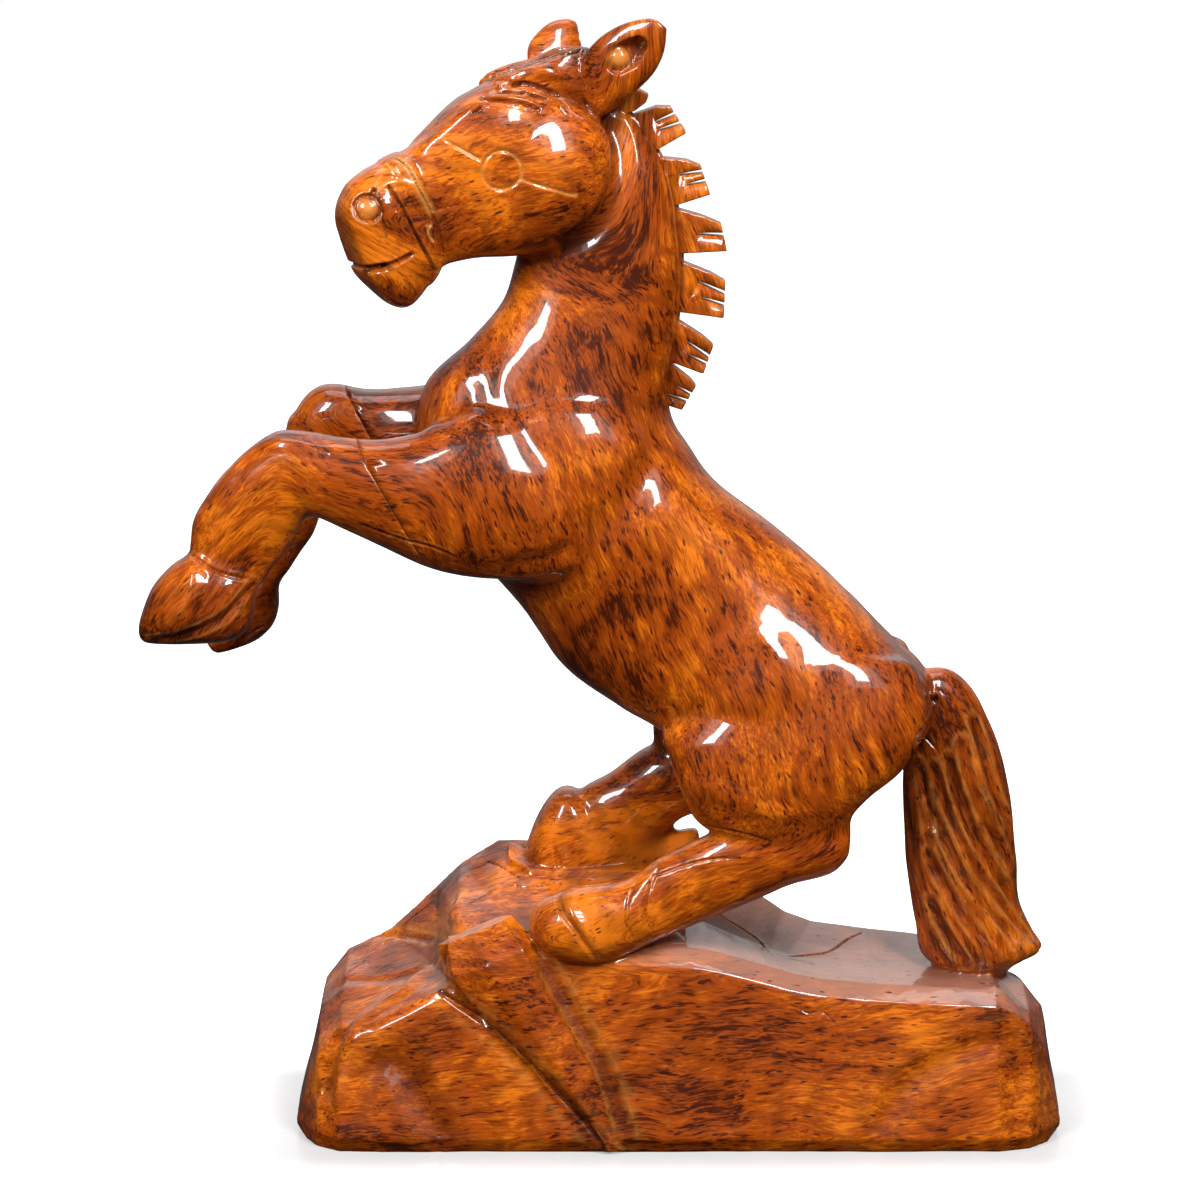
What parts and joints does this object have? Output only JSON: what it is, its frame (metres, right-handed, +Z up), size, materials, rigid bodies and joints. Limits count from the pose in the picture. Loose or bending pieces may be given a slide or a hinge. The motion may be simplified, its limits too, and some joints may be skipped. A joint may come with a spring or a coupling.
{
  "type": "rearing horse sculpture",
  "caption": "Carved hardwood horse rearing on a faceted rock base, with a tufted mane and a fluted tail, under a glossy lacquer",
  "frame": {"origin": "on the ground, at the middle of the rock's underside", "axes": "+Z up, the horse faces -X, its left side faces -Y"},
  "size_m": [0.3289, 0.1, 0.4],
  "materials": {
    "lacquered_hardwood": "thick glossy lacquer over warm orange-brown figured hardwood"
  },
  "bodies": {
    "root": {"horse_on_rock": "lacquered_hardwood", "left_foreleg": "lacquered_hardwood", "right_foreleg": "lacquered_hardwood"}
  },
  "joints": []
}
